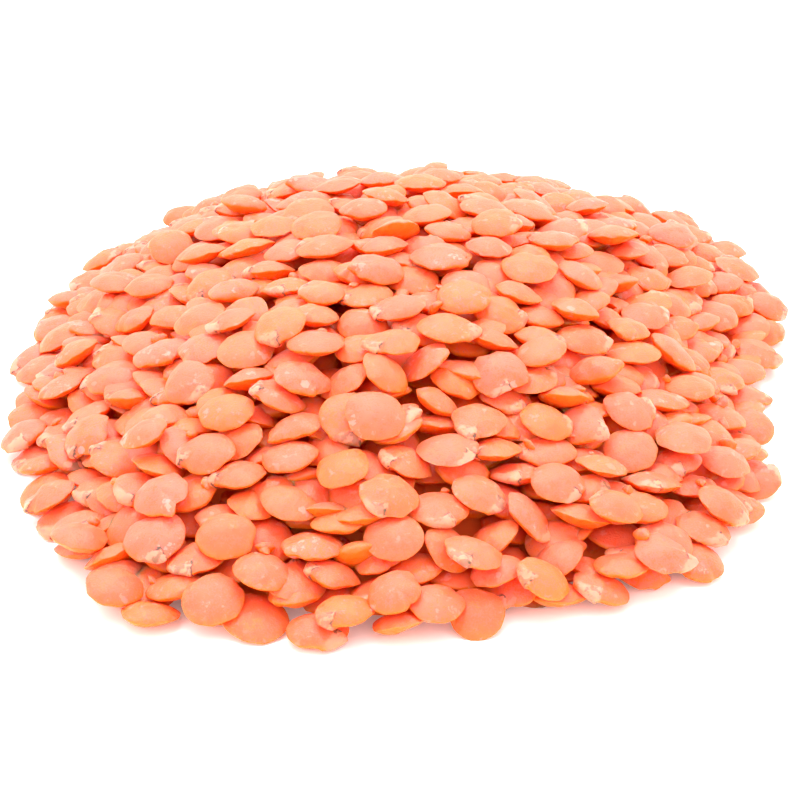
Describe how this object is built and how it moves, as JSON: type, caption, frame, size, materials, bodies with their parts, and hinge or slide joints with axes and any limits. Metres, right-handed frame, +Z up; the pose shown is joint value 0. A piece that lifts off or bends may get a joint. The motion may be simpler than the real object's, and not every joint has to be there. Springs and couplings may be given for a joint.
{
  "type": "heap of dry red lentils",
  "caption": "Loose low heap of dry red lentils as it lies on a table: small round lens-shaped grains piled on a flat base.",
  "frame": {"origin": "middle of the flat base, on the table under the heap", "axes": "+Z up, -Y towards the side that the picture shows, +X to its right"},
  "size_m": [0.0778, 0.102, 0.018],
  "materials": {
    "red_lentil": "matt, slightly powdery orange-salmon grains"
  },
  "bodies": {
    "root": {"lentil_heap": "red_lentil"}
  },
  "joints": []
}
